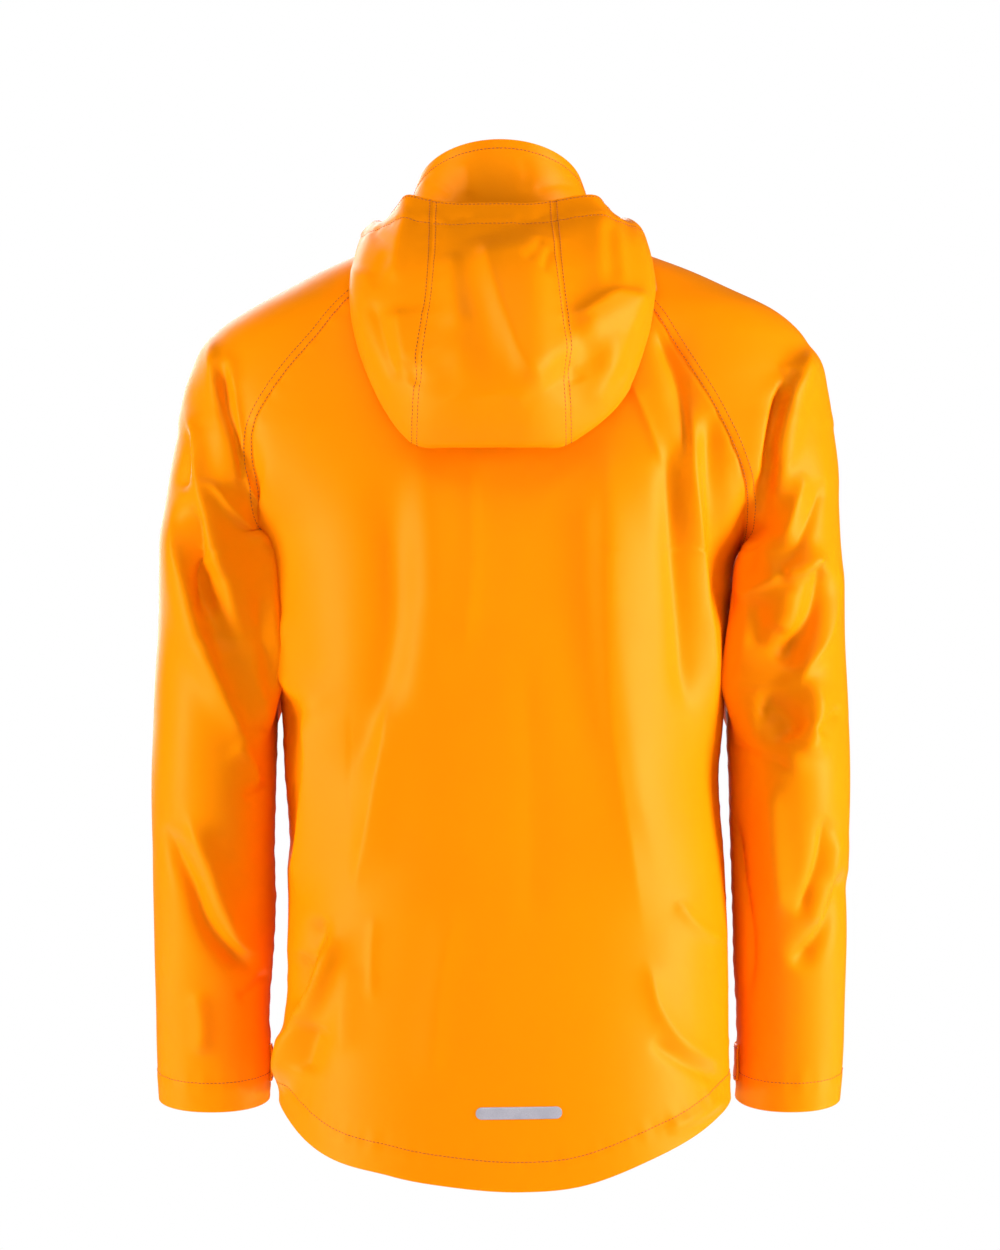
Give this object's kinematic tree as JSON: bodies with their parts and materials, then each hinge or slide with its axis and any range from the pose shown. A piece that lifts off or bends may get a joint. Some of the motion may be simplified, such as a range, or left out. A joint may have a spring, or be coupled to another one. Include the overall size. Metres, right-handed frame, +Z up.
{
  "type": "hooded rain anorak, worn form",
  "caption": "Hooded pullover rain jacket with raglan sleeves, stand collar, drop tail and thrown-back hood, hollow as worn.",
  "frame": {"origin": "Middle of the neck opening, level with the base of the collar at the back, where the wearer's neck holds the garment up", "axes": "+Z up, the front faces -Y, the wearer's left is +X"},
  "size_m": [0.5583, 0.3376, 0.8192],
  "materials": {
    "shell_cloth": "smooth polyurethane-coated knit, satin sheen",
    "reflective_film": "silver reflective transfer film",
    "zip_tape": "woven polyester tape",
    "zip_teeth": "moulded acetal teeth",
    "zip_metal": "orange painted zinc"
  },
  "bodies": {
    "garment": {"back": "shell_cloth", "front": "shell_cloth", "sleeve_left": "shell_cloth", "sleeve_right": "shell_cloth", "collar": "shell_cloth", "hood_centre": "shell_cloth", "hood_left": "shell_cloth", "hood_right": "shell_cloth", "cuff_tab_left": "shell_cloth", "cuff_tab_right": "shell_cloth", "reflective_strip": "reflective_film", "zip_tape_left": "zip_tape", "zip_tape_right": "zip_tape", "zip_chain": "zip_teeth", "zip_slider": "zip_metal"},
    "pull": {"zip_pull": "zip_metal"}
  },
  "joints": [
    {"name": "pull_swing", "type": "hinge", "parent": "garment", "child": "pull", "pos_m": [0, -0.08439, -0.00654], "axis": [-1, 0, 0], "range_deg": [0, 150]}
  ]
}
